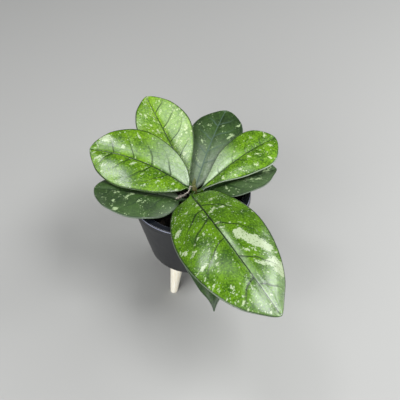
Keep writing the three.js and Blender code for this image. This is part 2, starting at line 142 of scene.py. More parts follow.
def linear(hex_colour):
    """The linear colour of an sRGB hex value such as #2c2d30."""
    shares = [int(hex_colour[i : i + 2], 16) / 255 for i in (1, 3, 5)]
    return (*(s / 12.92 if s <= 0.04045 else ((s + 0.055) / 1.055) ** 2.4 for s in shares), 1)


def join(node, links):
    """Links to a node's inputs, by name or number, from sockets or from the main outputs of nodes."""
    for key, source in links.items():
        if isinstance(source, bpy.types.Node):
            source = source.outputs[2 if source.bl_idname == "ShaderNodeMix" else 0]
        node.id_data.links.new(source, node.inputs[key])


def add_node(tree, kind, settings=None, links=None):
    """A node of that kind, with its settings and links. A mix is one of colours.

    The kind of a maths node is followed by its operation. Inputs may go by number: a mix has its share at 0
    and its colours at 6 and 7, and a map range has its value at 0, the range it is read from at 1 and 2,
    and the range it is given at 3 and 4.
    """
    kind, *operation = kind.split()
    node = tree.nodes.new("ShaderNode" + kind)
    if operation:
        node.operation = operation[0]
    if kind == "Mix":
        node.data_type = "RGBA"
    for key, value in (settings or {}).items():
        if isinstance(key, int) or key in node.inputs:
            node.inputs[key].default_value = value
        else:
            setattr(node, key, value)
    join(node, links or {})
    return node


def new_finish(name, roughness, ior=1.5):
    """An empty material, its shader, and the function that adds a node to it."""
    material = bpy.data.materials.new(name)
    material.use_nodes = True
    shader = material.node_tree.nodes["Principled BSDF"]
    shader.inputs["Roughness"].default_value = roughness
    shader.inputs["IOR"].default_value = ior
    return material, shader, partial(add_node, material.node_tree)


# Polypropylene, IOR 1.49. The mould's grain is about 0.3 mm; it is drawn at 0.8 mm so that it shows. The
# lip is glossier than the wall; a pale line on its edge is a painted highlight, and its flat top is painted
# dark as shade. Each of these three begins and is full at a depth below the rim, and has a strength.
LIP_GLOSS_AND_PAINTED_LIGHT = ((2, 1.2, 0.22), (0.85, 0.6, 0.9), (0.38, 0.18, 1))
grained_polypropylene, shader, add = new_finish("grained_polypropylene", 0.42, 1.49)
position = add("TexCoord").outputs["Object"]
grain = add("TexNoise", {"Scale": 1200, "Detail": 2}, {"Vector": position})
scuffs = add("TexNoise", {"Scale": 60, "Detail": 5, "Roughness": 0.7}, {"Vector": position})
shade = add("Mix", {6: linear("#1f2022"), 7: linear("#292a2d")}, {0: scuffs})
gloss = add("MapRange", {1: 0.3, 2: 0.7, 3: 0.36, 4: 0.5}, {0: scuffs})
height_in_scene = add("SeparateXYZ", links={0: position}).outputs["Z"]
lip_gloss_and_painted_light = []
for start, full, strength in LIP_GLOSS_AND_PAINTED_LIGHT:
    heights = {1: (RIM_HEIGHT - start) / 1000, 2: (RIM_HEIGHT - full) / 1000, 4: strength}
    lip_gloss_and_painted_light.append(add("MapRange", heights, {0: height_in_scene}))
# A pale line on the lip's edge is a painted highlight, and the dark flat top is painted shade
for band, colour in zip(lip_gloss_and_painted_light[1:], ("#888b9c", "#11141b")):
    shade = add("Mix", {7: linear(colour)}, {0: band, 6: shade})
gloss = add("Math SUBTRACT", links={0: gloss, 1: lip_gloss_and_painted_light[0]})
relief = add("Bump", {"Strength": 0.15, "Distance": 0.0001}, {"Height": grain})
join(shader, {"Base Color": shade, "Roughness": gloss, "Normal": relief})

wall_tilt = math.atan(WALL_SLOPE)
corner_height = BASE_HEIGHT + BASE_CORNER_RADIUS
corner_end = wall_radius(corner_height - BASE_CORNER_RADIUS * math.sin(wall_tilt))
corner_middle = corner_end - BASE_CORNER_RADIUS * math.cos(wall_tilt)
edge_height = RIM_HEIGHT - RIM_EDGE_RADIUS
lip_inner = RIM_RADIUS - LIP_WIDTH
lip_underside = RIM_HEIGHT - LIP_DEPTH
floor_top = BASE_HEIGHT + FLOOR_THICKNESS
planter_profile = [
    (MIDDLE_RADIUS, BASE_HEIGHT),
    *quarter(corner_middle, corner_height, BASE_CORNER_RADIUS, -90, -math.degrees(wall_tilt), 12),
    (WALL_TOP_RADIUS, WALL_TOP_HEIGHT),
    (RIM_RADIUS, WALL_TOP_HEIGHT + RIM_BAND_STEP),
    *quarter(RIM_RADIUS - RIM_EDGE_RADIUS, edge_height, RIM_EDGE_RADIUS, 0, 90, 8),
    *quarter(lip_inner + RIM_EDGE_RADIUS, edge_height, RIM_EDGE_RADIUS, 90, 180, 8),
    (lip_inner, lip_underside),
    (wall_radius(lip_underside - LIP_SLANT) - WALL_THICKNESS, lip_underside - LIP_SLANT),
    (wall_radius(floor_top) - WALL_THICKNESS, floor_top),
    (MIDDLE_RADIUS, floor_top),
]
planter = add_piece("planter", *skin(turned_rings(planter_profile)), grained_polypropylene, "pot", sharp=32)
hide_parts("pot")

# Legs
# Three pegs of pale rubberwood, turned to a taper, sanded and left with a clear matt finish. Each is
# glued by a dowel into a socket under the planter's floor and leans outwards, its foot cut level.

LEG_HEADINGS = {"leg_front_left": -122.5, "leg_right": -2.5, "leg_rear": 117.5}
LEG_TOP_OFFSET = 27
LEG_FOOT_OFFSET = 34.5
LEG_TOP_RADIUS = 5.2
LEG_FOOT_RADIUS = 2.9
LEG_EDGE_ROUNDING = 0.7
LEG_GAP = 0.3
LEG_SIDES = 48
GRAIN_OFFSET = 40

# Rubberwood, IOR 1.5 under its finish. Its vessels run lengthways about 0.3 mm apart; the streaks
# are drawn at 0.8 mm, and they fade in and out over about 12 mm of the leg's length.
sanded_rubberwood, shader, add = new_finish("sanded_rubberwood", 0.55)
grain_line = add("Attribute", {"attribute_name": "grain"}).outputs["Vector"]
lengthened = add("VectorMath MULTIPLY", {1: (1.2, 1.2, 0.08)}, {0: grain_line})
streaks = add("TexNoise", {"Scale": 1, "Detail": 4, "Roughness": 0.6}, {"Vector": lengthened})
share = add("MapRange", {1: 0.35, 2: 0.6}, {0: streaks})
wood = add("Mix", {6: linear("#f4e9cd"), 7: linear("#fdf8ea")}, {0: share})
relief = add("Bump", {"Strength": 0.2, "Distance": 0.0001}, {"Height": streaks})
join(shader, {"Base Color": wood, "Normal": relief})


def set_vectors(piece, name, *values):
    """A vector of three values for each point of a piece, which its material reads by name."""
    attribute = piece.data.attributes.new(name, "FLOAT_VECTOR", "POINT")
    attribute.data.foreach_set("vector", np.stack(values, -1).astype(np.float32).ravel())


for number, (leg_name, heading) in enumerate(LEG_HEADINGS.items()):
    outwards = np.array([math.cos(math.radians(heading)), math.sin(math.radians(heading)), 0])
    across = np.array([-outwards[1], outwards[0], 0])
    lean = math.atan((LEG_FOOT_OFFSET - LEG_TOP_OFFSET) / BASE_HEIGHT)
    heights = [*np.linspace(0, LEG_EDGE_ROUNDING, 6), *np.linspace(1.5, BASE_HEIGHT - LEG_GAP, 20)]
    angles = circle(LEG_SIDES)
    round_leg = np.cos(angles)[:, None] * outwards / math.cos(lean) + np.sin(angles)[:, None] * across
    leg_rings = []
    for height in heights:
        share = height / BASE_HEIGHT
        middle = outwards * (LEG_FOOT_OFFSET + (LEG_TOP_OFFSET - LEG_FOOT_OFFSET) * share)
        radius = LEG_FOOT_RADIUS + (LEG_TOP_RADIUS - LEG_FOOT_RADIUS) * share
        rounding = max(0, 1 - height / LEG_EDGE_ROUNDING)
        radius -= LEG_EDGE_ROUNDING * (1 - math.sqrt(1 - rounding**2))
        ring = middle + radius * round_leg
        ring[:, 2] = height
        leg_rings.append(ring)
    leg_points, leg_faces = skin(np.array(leg_rings))
    leg = add_piece(f"wood_{leg_name}", leg_points, leg_faces, sanded_rubberwood, "legs")
    along_leg = leg_points[:, 2] / math.cos(lean)
    from_line = leg_points @ outwards + math.tan(lean) * leg_points[:, 2]
    set_vectors(leg, "grain", from_line, leg_points @ across, along_leg + GRAIN_OFFSET * number)
    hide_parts(leg_name)

# Potting mix
# Damp peat and coconut husk, filled in loosely to a finger below the rim, with chips of bark and a few
# grains of pumice in its surface. Peat and husk are painted near black, darker than they are, as the shade
# of the leaves over them, and nothing in the mix shines.

SOIL_TOP = 68
SOIL_LUMP_HEIGHT = 1.2
SOIL_CRUMB_HEIGHT = 0.35
SOIL_EDGE_DROP = 2
SOIL_SKIRT = 30
CHIP_COUNT = 190
CHIP_LENGTHS = (3.5, 9)
PUMICE_COUNT = 14
PUMICE_SIZES = (1.6, 3)
CLEAR_OF_STEM = 4
STEM_X = 2.5
STEM_Y = 0
draw = np.random.default_rng(7)


def lumps(x, y):
    """The height of the mix's surface: broad lumps, with crumbs of 2 to 4 mm on them."""
    broad = np.sin(x / 6 + 1) * np.cos(y / 5) + 0.5 * np.sin(x / 2.6 + y / 3.1)
    crumbs = np.sin(x * 1.9 + 2 * np.sin(y * 1.1)) * np.sin(y * 2.3 + 2 * np.sin(x * 0.9))
    return SOIL_TOP + SOIL_LUMP_HEIGHT * broad + SOIL_CRUMB_HEIGHT * crumbs


def add_crumbly_finish(name, dark, light, size):
    """A rough, dull finish that varies between two colours over crumbs of that size in millimetres."""
    material, shader, add = new_finish(name, 0.95)
    shader.inputs["Specular IOR Level"].default_value = 0.3
    position = add("TexCoord").outputs["Object"]
    crumbs = add("TexNoise", {"Scale": 1000 / size, "Detail": 5, "Roughness": 0.7}, {"Vector": position})
    share = add("MapRange", {1: 0.38, 2: 0.66}, {0: crumbs})
    colour = add("Mix", {6: linear(dark), 7: linear(light)}, {0: share})
    relief = add("Bump", {"Strength": 0.8, "Distance": 0.0006}, {"Height": crumbs})
    join(shader, {"Base Color": colour, "Normal": relief})
    return material


# Peat crumbs are under 1 mm; they are drawn at 2 mm so that they show.
# Peat and husk colours are painted near black, darker than they are, as painted shade under the leaves
damp_peat_painted_as_shade = add_crumbly_finish("damp_peat_painted_as_shade", "#0a0806", "#1a1510", 2)
husk_and_bark_painted_as_shade = add_crumbly_finish("husk_and_bark_painted_as_shade", "#0e0b08", "#2a2119", 1.5)
pumice = add_crumbly_finish("pumice", "#6f695e", "#a8a296", 0.8)

skirt = SOIL_TOP - SOIL_SKIRT
edge_top = SOIL_TOP - SOIL_EDGE_DROP
soil_edge = wall_radius(edge_top) - WALL_THICKNESS
soil_radii = [wall_radius(skirt) - WALL_THICKNESS, soil_edge, *np.linspace(soil_edge - 0.6, 1, 64)]
soil_rings = turned_rings([(radius, 0) for radius in soil_radii])
soil_rings[..., 2] = lumps(soil_rings[..., 0], soil_rings[..., 1])
soil_rings[:2, :, 2] = [[skirt], [edge_top]]
mix = add_piece("potting_mix", *skin(soil_rings), damp_peat_painted_as_shade, "soil", sharp=70)
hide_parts("soil")


def merged(parts):
    """Points and faces of several surfaces as one."""
    points, faces = [], []
    for part_points, part_faces in parts:
        faces += [[i + len(points) for i in face] for face in part_faces]
        points += part_points.tolist()
    return points, faces


def add_lumps_of(name, count, sizes, shape, wear, material, reach):
    """Many small rounded blocks, scattered and half sunk in the mix's surface, as one piece."""
    block = np.array(list(product(np.linspace(-1, 1, 4), repeat=3)))
    shell = np.abs(block).max(1) > 0.99
    number = (np.cumsum(shell) - 1).reshape(4, 4, 4)
    faces = []
    for axis, side, i, j in product(range(3), (0, 3), range(3), range(3)):
        corners = [[i, j], [i + 1, j], [i + 1, j + 1], [i, j + 1]]
        face = [int(number[tuple(np.insert(corner, axis, side))]) for corner in corners]
        faces.append(face if (side == 3) != (axis == 1) else face[::-1])
    roundness = wear * (np.linalg.norm(block, axis=1, keepdims=True) - 1)
    pieces = []
    for _ in range(count):
        size = draw.uniform(*sizes)
        turn = np.array(Euler([*draw.uniform(-0.5, 0.5, 2), draw.uniform(0, math.pi)]).to_matrix())
        radius = reach * math.sqrt(draw.uniform(0.03, 1))
        angle = draw.uniform(0, 2 * math.pi)
        x, y = radius * math.cos(angle), radius * math.sin(angle)
        if math.hypot(x - STEM_X, y - STEM_Y) < CLEAR_OF_STEM:
            continue
        half = 0.5 * size * np.array(shape) * draw.uniform(0.75, 1.25, 3)
        worn = block * (1 - roundness) * draw.uniform(0.85, 1.1, (64, 1))
        middle = (x, y, lumps(x, y) + 0.15 * half[2])
        pieces.append((((worn * half) @ turn.T + middle)[shell], faces))
    add_piece(name, *merged(pieces), material, "soil", sharp=50)


add_lumps_of("bark_chips", CHIP_COUNT, CHIP_LENGTHS, (1, 0.5, 0.28), 0.25, husk_and_bark_painted_as_shade, reach=36)
add_lumps_of("pumice_grains", PUMICE_COUNT, PUMICE_SIZES, (1, 0.9, 0.8), 0.45, pumice, reach=35)

# Stem
# A short woody shoot, rooted in the mix. It thickens where each pair of petioles leaves it, and ends in
# two young leaves that are still folded shut. Its bark is olive brown and dull, and the tip pale green.

STEM_RADIUS = 1.8
STEM_SLIMMING = 0.2
STEM_NODE_SWELL = 0.35
STEM_NODE_LENGTH = 1.4
STEM_TOP = 7
STEM_ROOT_DEPTH = 8
SOIL_DEPTH = RIM_HEIGHT - SOIL_TOP
NODE_HEIGHTS = np.array([-6.5, -6, -5, 0, 0.5, 1.5, 3])
BUD_ROOT_DEPTH = 1.2
BUD_FLATNESS = 0.65
STEM_ROWS = 90
STEM_SIDES = 32
BUD_ROWS = 24
BUD_SIDES = 24

# How far each young leaf reaches from the stem's end, and its half width
BUDS = {"bud_tall": ((0.9, 0.2, 8), 1.15), "bud_short": ((-1, -0.4, 4.6), 0.95)}


def smoothstep(value, low, high):
    """A share that rises softly from 0 at low to 1 at high."""
    share = np.clip((np.asarray(value, float) - low) / (high - low), 0, 1)
    return share * share * (3 - 2 * share)


def stem_radius(height):
    """The stem's radius at a height above the rim."""
    slimming = STEM_SLIMMING * smoothstep(height, -SOIL_DEPTH, STEM_TOP)
    rooted = smoothstep(height, -SOIL_DEPTH, -SOIL_DEPTH + 2)
    swell = np.exp(-(((height - NODE_HEIGHTS) / STEM_NODE_LENGTH) ** 2)).max()
    return STEM_RADIUS * (1 - slimming) + STEM_NODE_SWELL * swell * rooted


# Young bark, IOR 1.5: corky streaks about 0.5 mm wide run up it, and it greens over the last few mm.
young_bark, shader, add = new_finish("young_bark", 0.6)
position = add("TexCoord").outputs["Object"]
lengthened = add("VectorMath MULTIPLY", {1: (1, 1, 0.25)}, {0: position})
cork = add("TexNoise", {"Scale": 2000, "Detail": 4}, {"Vector": lengthened})
bark = add("Mix", {6: linear("#4b4022"), 7: linear("#7d7442")}, {0: cork})
height_in_scene = add("SeparateXYZ", links={0: position}).outputs["Z"]
tip_heights = {1: (RIM_HEIGHT + 3) / 1000, 2: (RIM_HEIGHT + 8) / 1000}
greening = add("MapRange", tip_heights, {0: height_in_scene})
bark = add("Mix", {7: linear("#686e3e")}, {0: greening, 6: bark})
relief = add("Bump", {"Strength": 0.4, "Distance": 0.0002}, {"Height": cork})
join(shader, {"Base Color": bark, "Normal": relief})

stem_rings = []
around = circle(STEM_SIDES)
for height in np.linspace(-SOIL_DEPTH - STEM_ROOT_DEPTH, STEM_TOP, STEM_ROWS):
    radius = stem_radius(height) * (1 if height < STEM_TOP - 0.3 else 0.7)
    uneven = radius * (1 + 0.05 * np.sin(3 * around + 0.8 * height) + 0.03 * np.sin(5 * around - height))
    x, y = STEM_X + uneven * np.cos(around), STEM_Y + uneven * np.sin(around)
    stem_rings.append(np.stack([x, y, np.full(STEM_SIDES, RIM_HEIGHT + height)], -1))
stem = add_piece("shoot", *skin(np.array(stem_rings)), young_bark, "stem", sharp=60)
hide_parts("stem")


def unit(vectors):
    """The same directions with a length of one."""
    return vectors / np.linalg.norm(vectors, axis=-1, keepdims=True)


around = circle(BUD_SIDES)[:, None]
for bud_name, (reach, bud_half_width) in BUDS.items():
    reach = np.array(reach)
    bud_side = unit(np.cross(reach, (0, 1, 0)))
    bud_top = unit(np.cross(reach, bud_side))
    domed = np.sin(around) * np.abs(np.sin(around)) ** 0.4
    lens = np.cos(around) * bud_side + BUD_FLATNESS * domed * bud_top
    bud_root = np.array([STEM_X, STEM_Y, RIM_HEIGHT + STEM_TOP - BUD_ROOT_DEPTH])
    bud_rings = []
    for share in np.linspace(0, 1, BUD_ROWS):
        width = bud_half_width * math.sin(math.pi * (0.2 + 0.77 * share))
        bud_rings.append(bud_root + share * reach + width * lens)
    add_piece(bud_name, *skin(np.array(bud_rings)), young_bark, "stem", sharp=60)

# Leaves
# Thick waxy blades on short round petioles, in pairs up the stem. The midrib lies in a groove above and
# stands out as a keel below. Side veins leave it steeply, bend towards the tip and fade at the margin.
# The upper skin has lost its green in splashes and specks, drawn out along the side veins.

PETIOLE_RADIUS = 1.6
TIP_HALF_WIDTH = 0.45
BLADE_THICKNESS = 1.1
MARGIN_THICKNESS = 0.95
MARGIN_ROUNDING = 0.3
KEEL_DEPTH = 1.5
KEEL_HALF_WIDTH = 1.3
GROOVE_DEPTH = 0.75
GROOVE_HALF_WIDTH = 2.6
VEIN_SINK = 0.12
VEIN_HALF_WIDTH = 1.6
MIDRIB_HALF_WIDTHS = (1.05, 0.4)
MARGIN_WAVE_HEIGHT = 0.5
MARGIN_WAVES = 2.5
VEIN_START_ANGLE = 62
VEIN_END_ANGLE = 26
VEIN_REACH = 0.9
VEIN_STEP = 1.5
VEIN_WANDER = 0.9
OPEN_GAP = 16
PETIOLE_ROWS = 22
PETIOLE_BEND = 0.4
PETIOLE_DROP = 0.45
PETIOLE_SINK = 0.3
BLADE_COLUMNS = 83
FLATTENING_SHARE = 0.045
LOBE_SHARE = 0.2
SPLASH_DEPTH = 1.5
FAR_OUTSIDE = -10
PAINTED_SHEEN_EDGES = (0.12, 0.3)
SMALL_SPLASH_LENGTHS = (0.9, 2.5)
SMALL_SPLASH_WIDTHS = (0.35, 0.6)
PATTERN_OFFSET = 57

# heading, swing, rise, droop, roll, twist, fold and curl are degrees. node is how high above the rim the
# petiole leaves the stem, and base is where the midrib starts, from the planter's axis and above the rim.
# tapers shape the outline before and after its widest share, lobes is how far the base reaches back, point
# how much the tip is pinched in, and rows the mesh's steps along. veins are the shares of the length where
# side veins leave the midrib, on the left half and then the right. A zone of painted sheen, which stands
# for the lamps' reflection, is (half of the blade, 0 for both, share across where it starts and ends,
# shares along between which it strengthens, strength). faint is how much earlier the side veins' dark fades
# on the two halves, as a share of the way out. specks is their amount, and a splash is (share along, share
# across, length, width, angle from the midrib outwards).
LEAVES = {
    "leaf_front": dict(
        node=1.5, base=(0, -8, 4.2), heading=-73, swing=20, rise=23, droop=55,
        roll=12, twist=-20, fold=1, curl=26, length=125.5, half_width=33.5,
        widest=0.49, tapers=(0.45, 0.66), lobes=4, point=0.12, rows=210, tone="grown",
        painted_sheen=(
            (1, 0.25, 1.5, 0.74, 0.84, 0.25), (-1, 0.03, 1.5, 0.8, 0.88, 0.07),
            (1, -0.06, 0.2, 0.36, 0.46, 0.42),
        ),
        veins=((0.16, 0.36, 0.62, 0.8), (0.2, 0.3, 0.47, 0.75)), specks=0.8,
        splashes=(
            (0.57, 0.52, 33, 10, 38), (0.47, 0.32, 9, 6, 80), (0.5, 0.25, 9, 5, 20),
            (0.745, 0.82, 15, 8, 20), (0.8, 0.86, 14, 7, -30), (0.71, 0.42, 15, 3, 52),
            (0.73, 0.64, 11, 6, 45), (0.6, 0.22, 6, 2.5, 60), (0.36, 0.09, 4, 2, 70),
            (0.4, 0.08, 3.5, 1.6, 70), (0.14, 0.43, 6, 2.6, 110), (0.25, 0.17, 6, 2.4, 110),
            (0.25, 0.43, 3, 3, 0), (0.15, -0.08, 4, 2.4, 20),
            (0.16, -0.5, 6, 1.8, 100), (0.28, -0.84, 8, 4.5, 60), (0.43, -0.85, 6, 3, 70),
            (0.47, -0.75, 6, 2.6, 70), (0.57, -0.42, 12, 1.8, 25), (0.58, -0.8, 12, 2.6, 75),
            (0.69, -0.87, 7, 2, 45), (0.84, -0.72, 4, 2.4, 50), (0.8, -0.3, 5, 1.6, 60),
        ),
    ),
    "leaf_rear_left": dict(
        node=0.5, base=(-1, 7, 2), heading=107, swing=12, rise=10, droop=-21,
        roll=-10, twist=17, fold=15, curl=4, length=87, half_width=22.5,
        widest=0.63, tapers=(0.82, 0.7), point=0.1, rows=150, tone="young",
        painted_sheen=((-1, 0.05, 1.1, 1, 0.75, 0.24),), faint=(0.45, 0),
        veins=((0.22, 0.4, 0.58, 0.76), (0.3, 0.48, 0.65, 0.82)), specks=1,
        splashes=(
            (0.7, -0.86, 5, 2, 40), (0.55, -0.77, 6, 3, 40), (0.46, -0.3, 8, 1.6, 60),
            (0.31, -0.4, 4, 3, 30), (0.62, 0.23, 3.5, 2, 40), (0.5, -0.5, 6, 1.4, 60),
            (0.8, 0.5, 3, 2, 30), (0.6, 0.7, 3, 2, 40),
        ),
    ),
    "leaf_left": dict(
        node=3, base=(-1, 0, 4), heading=149, swing=14, rise=26, droop=30,
        roll=-1, twist=-19, fold=9, curl=18, length=85, half_width=27.5,
        widest=0.55, tapers=(0.6, 0.64), point=0.1, rows=150,
        painted_sheen=(
            (-1, 0.02, 1.5, 0.62, 0.2, 0.5), (-1, 0.02, 0.45, 0.5, 0.65, 0.22),
            (1, 0.3, 1.5, 0.4, 0.65, 0.1),
        ),
        faint=(0.05, 0.2), tone="half_grown",
        veins=((0.23, 0.38, 0.6, 0.78), (0.2, 0.38, 0.57, 0.76)), specks=0.8,
        splashes=(
            (0.88, -0.68, 12, 7, 5), (0.94, 0.2, 4, 1.6, 40), (0.9, 0.5, 9, 2.4, 40),
            (0.7, -0.24, 4.5, 3, 50), (0.83, 0.72, 7, 1.8, 40), (0.42, 0.45, 4, 2, 60),
            (0.26, 0.5, 4, 1.6, 60), (0.14, 0.4, 3, 2, 50), (0.55, 0.2, 4, 2, 60),
            (0.35, 0.75, 4, 1.6, 60), (0.62, -0.72, 4, 1.6, 50),
        ),
    ),
    "leaf_right": dict(
        node=0, base=(8, 1, 1.5), heading=35, swing=-13, rise=26, droop=18,
        roll=-10, twist=13, fold=8, curl=25, length=70, half_width=22.5,
        widest=0.68, tapers=(0.58, 0.52), point=0.08, rows=140,
        painted_sheen=((1, 0.02, 1.5, 0.65, 0.3, 0.62),), faint=(0.4, 0.45), tone="turning",
        veins=((0.25, 0.45, 0.63, 0.8), (0.32, 0.52, 0.7)), specks=0.8,
        splashes=(
            (0.71, -0.35, 5, 1.6, 70), (0.62, -0.28, 5, 1.6, 70), (0.62, -0.75, 5, 3, 60),
            (0.45, -0.6, 4, 2, 50), (0.89, -0.32, 6, 2, 60), (0.79, 0.53, 3, 2, 50),
            (0.92, 0.5, 8, 1.8, 70), (0.8, -0.75, 4, 2, 60), (0.35, -0.5, 3, 1.6, 50),
        ),
    ),
    "leaf_left_low": dict(
        node=-6, base=(-8, -3, -4), heading=187, swing=-14, rise=28, droop=28,
        roll=-2, twist=9, fold=1, curl=16, length=66, half_width=26,
        widest=0.5, tapers=(0.7, 0.5), point=0.1, rows=130, tone="old",
        painted_sheen=((0, 0, 0, -1, -0.5, 0.015), (-1, -0.1, 1.5, 0.55, 0.3, 0.26)),
        veins=((0.2, 0.42, 0.62, 0.8), (0.28, 0.5, 0.7)), specks=0.75,
        splashes=(
            (0.75, 0.15, 9, 2.4, 70), (0.61, 0.22, 9, 2.6, 50), (0.77, 0.57, 3, 3, 0),
            (0.73, 0.85, 4, 2.6, 30), (0.49, 0.4, 4, 2.4, 40), (0.68, 0.3, 5, 1.6, 20),
        ),
    ),
    "leaf_right_low": dict(
        node=-5, base=(9.5, 1, -2), heading=11, swing=-6, rise=22, droop=20,
        roll=-1, twist=3, fold=15, curl=10, length=58, half_width=22,
        widest=0.52, tapers=(0.6, 0.7), point=0.15, rows=120, tone="old",
        painted_sheen=((0, 0, 0, 0.1, 0.7, 0.07),),
        veins=((0.2, 0.42, 0.62), (0.28, 0.5, 0.7)), specks=0.8,
        splashes=(
            (0.65, -0.33, 9, 2.2, 20), (0.56, -0.3, 6, 1.8, 50), (0.87, 0.07, 6, 2.4, 20),
            (0.3, -0.4, 6, 2, 80), (0.74, -0.45, 6, 2.4, 20),
        ),
    ),
    "leaf_rear": dict(
        node=-6.5, base=(3, 6.5, -3.5), heading=72, swing=-7, rise=21, droop=13,
        roll=-5, twist=1, fold=3, curl=15, length=80, half_width=23.5,
        widest=0.6, tapers=(0.7, 0.5), point=0.08, rows=140, tone="oldest",
        painted_sheen=((0, 0, 0, 0.75, 0.2, 0.25),), faint=(0.2, 0.2),
        veins=((0.24, 0.42, 0.6, 0.78), (0.3, 0.46, 0.64, 0.8)), specks=0.6,
        splashes=(
            (0.77, 0.75, 4, 1.4, 60), (0.77, 0.38, 3, 1.2, 60), (0.78, -0.2, 3, 1.3, 60),
            (0.83, -0.85, 6, 1.8, 40), (0.56, 0.33, 6, 1.4, 40), (0.34, 0.33, 6, 1.3, 30),
            (0.48, -0.13, 3, 1.3, 50), (0.65, -0.58, 9, 1.4, 40),
        ),
    ),
    "leaf_front_low": dict(
        node=-6, base=(2.5, -6, -1), heading=-77, swing=-16, rise=27, droop=68,
        roll=8, twist=11, fold=6, curl=21, length=104, half_width=23.5,
        widest=0.44, tapers=(0.62, 1), point=0.4, rows=150, tone="old",
        veins=((0.18, 0.34, 0.5, 0.66), (0.25, 0.42, 0.58, 0.74)), specks=0.1, splashes=(),
    ),
}


def turned_sum(start, turn, t):
    """The sum from 0 to t of the direction of a line whose angle runs evenly from start by turn."""
    mean, length = start + turn * t / 2, t * np.sinc(turn * t / (2 * math.pi))
    return length * np.cos(mean), length * np.sin(mean)


def section_directions(along, roll):
    """The side and top directions of sections across a direction, rolled about it."""
    level = unit(np.cross((0, 0, 1), along))
    upright = np.cross(along, level)
    cos, sin = np.cos(roll)[..., None], np.sin(roll)[..., None]
    return level * cos + upright * sin, upright * cos - level * sin


def midrib(leaf, t):
    """The midrib's points and its along, side and top directions at shares t of the length."""
    heading, swing = math.radians(leaf["heading"]), math.radians(leaf["swing"])
    rise, droop = math.radians(leaf["rise"]), -math.radians(leaf["droop"])
    cos_plus, sin_plus = turned_sum(heading + rise, swing + droop, t)
    cos_minus, sin_minus = turned_sum(heading - rise, swing - droop, t)
    climb = turned_sum(rise, droop, t)[1]
    points = leaf["length"] * np.stack([(cos_plus + cos_minus) / 2, (sin_plus + sin_minus) / 2, climb], -1)
    points += np.array(leaf["base"]) + (0, 0, RIM_HEIGHT)
    now_heading, now_rise = heading + swing * t, rise + droop * t
    level = np.cos(now_rise)
    along = np.stack([level * np.cos(now_heading), level * np.sin(now_heading), np.sin(now_rise)], -1)
    side, top = section_directions(along, np.radians(leaf["roll"] + leaf["twist"] * t))
    return points, along, side, top


def half_width_at(leaf, t):
    """Half the blade's width at shares t of the length: an oval outline that ends in a short point."""
    share = t ** (math.log(0.5) / math.log(leaf["widest"]))
    taper = np.where(t < leaf["widest"], *leaf["tapers"])
    oval = leaf["half_width"] * np.clip(4 * share * (1 - share), 0, None) ** taper
    pinch = 1 - leaf["point"] * smoothstep(t, 0.86, 0.97)
    return np.hypot(oval * pinch, PETIOLE_RADIUS * (1 - t) + TIP_HALF_WIDTH * t)


def side_vein(leaf, start):
    """A side vein's line, in mm along the midrib and out from it."""
    point = np.array([start * leaf["length"], 0.0])
    line = [point]
    share = 0
    while share < VEIN_REACH and point[0] < 0.97 * leaf["length"]:
        bend = (VEIN_END_ANGLE - VEIN_START_ANGLE) * (share / VEIN_REACH) ** 1.5
        angle = math.radians(VEIN_START_ANGLE + bend)
        point = point + VEIN_STEP * np.array([math.cos(angle), math.sin(angle)])
        line.append(point)
        share = point[1] / half_width_at(leaf, point[0] / leaf["length"])
    return np.array(line)


def side_of_vein(line, along, out):
    """The distance from a vein's line, above zero on the tip's side of it."""
    points = np.stack([along, out], -1)[:, None]
    start, step = line[:-1], np.diff(line, axis=0)
    reach = np.clip(((points - start) * step).sum(-1) / (step**2).sum(-1), 0, 1)
    gap = points - start - reach[..., None] * step
    nearest = np.argmin((gap**2).sum(-1), 1)
    row = np.arange(len(points))
    gap, step = gap[row, nearest], step[nearest]
    return np.copysign(np.hypot(*gap.T), step[:, 1] * gap[:, 0] - step[:, 0] * gap[:, 1])


def vein_count(leaf, veins, along, out):
    """How many veins lie between the base and each point, as a running number, and the gap it counts in.

    The number is whole on a vein, so its distance from a whole number, times the gap, is the way in mm.
    """
    sides = np.stack([side_of_vein(side_vein(leaf, start), along, out) for start in veins], -1)
    last = len(veins) - 1
    passed = (sides >= 0).sum(-1) - 1
    row = np.arange(len(sides))
    behind, ahead = (sides[row, np.clip(passed + step, 0, last)] for step in (0, 1))
    gap = np.where((passed >= 0) & (passed < last), np.maximum(behind - ahead, 0.1), OPEN_GAP)
    open_share = np.clip(np.where(passed < 0, ahead, behind) / OPEN_GAP, -0.5, 0.5)
    number = np.where(passed < 0, open_share, passed + np.where(passed < last, behind / gap, open_share))
    return number, gap


def splash_depth(leaf, splashes, along, across):
    """How far inside the nearest splash each point of the blade lies, in mm, below zero outside."""
    depth = np.full(along.shape, float(FAR_OUTSIDE))
    for share_along, share_across, length, width, angle in splashes:
        middle = share_along * leaf["length"]
        out = share_across * half_width_at(leaf, np.array(share_along))
        lean = math.copysign(math.radians(angle), share_across)
        ahead, aside = along - middle, across - out
        lengthways = ahead * math.cos(lean) + aside * math.sin(lean)
        sideways = aside * math.cos(lean) - ahead * math.sin(lean)
        inside = 1 - np.hypot(lengthways / (length / 2), sideways / (width / 2))
        depth = np.maximum(depth, np.minimum(inside * width / 2, SPLASH_DEPTH))
    return depth


def scattered_splashes(leaf, seed):
    """Small splashes all over a blade, more of them on a leaf with more specks."""
    chance = np.random.default_rng(seed)
    area = leaf["length"] * leaf["half_width"]
    for _ in range(int(area / 100 * leaf["specks"])):
        length = chance.uniform(*SMALL_SPLASH_LENGTHS)
        place = chance.uniform(0.06, 0.95), chance.uniform(-0.95, 0.95)
        yield *place, length, length * chance.uniform(*SMALL_SPLASH_WIDTHS), chance.normal(50, 15)


